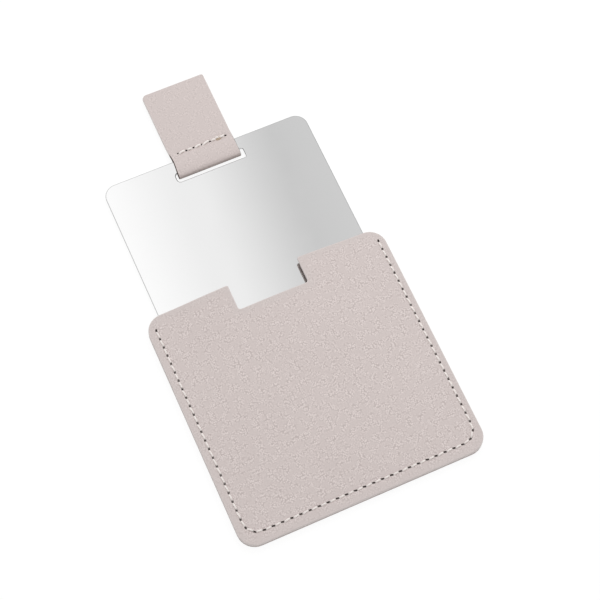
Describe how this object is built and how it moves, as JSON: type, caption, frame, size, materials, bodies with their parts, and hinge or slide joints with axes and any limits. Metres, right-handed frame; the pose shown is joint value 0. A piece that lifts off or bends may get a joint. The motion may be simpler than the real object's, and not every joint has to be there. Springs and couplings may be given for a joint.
{
  "type": "pull-out pocket mirror",
  "caption": "Flat polished steel pocket mirror with a leather pull tab looped through its slot, sliding in a sewn leather sleeve with a thumb notch.",
  "frame": {"origin": "middle of the sleeve's back face, which lies on the table", "axes": "+X across the sleeve, +Y out of its mouth along the card's travel, +Z away from the table"},
  "size_m": [0.086, 0.1633, 0.0053],
  "materials": {
    "sleeve_leather": "matte",
    "strap_leather": "matte",
    "welt_leather": "matte",
    "lining": "matte",
    "thread": "satin",
    "mirror_steel": "polished"
  },
  "bodies": {
    "sleeve": {"back_skin": "sleeve_leather", "back_lining": "lining", "seam_welt": "welt_leather", "front_lining": "lining", "front_skin": "sleeve_leather", "seam_needle_thread": "thread", "seam_bobbin_thread": "thread"},
    "mirror_card": {"mirror_plate": "mirror_steel", "tab_loop": "strap_leather"},
    "pull_tab": {"tab_leaf": "strap_leather", "tab_needle_thread": "thread", "tab_bobbin_thread": "thread"}
  },
  "joints": [
    {"name": "card_slide", "type": "slide", "parent": "sleeve", "child": "mirror_card", "axis": [0, 1, 0], "range_m": [-0.051, 0.03]},
    {"name": "tab_flex", "type": "hinge", "parent": "mirror_card", "child": "pull_tab", "pos_m": [0, 0.0943, 0.0016], "axis": [1, 0, 0], "range_deg": [-90, 90], "stiffness_Nm_per_rad": 0.004}
  ]
}
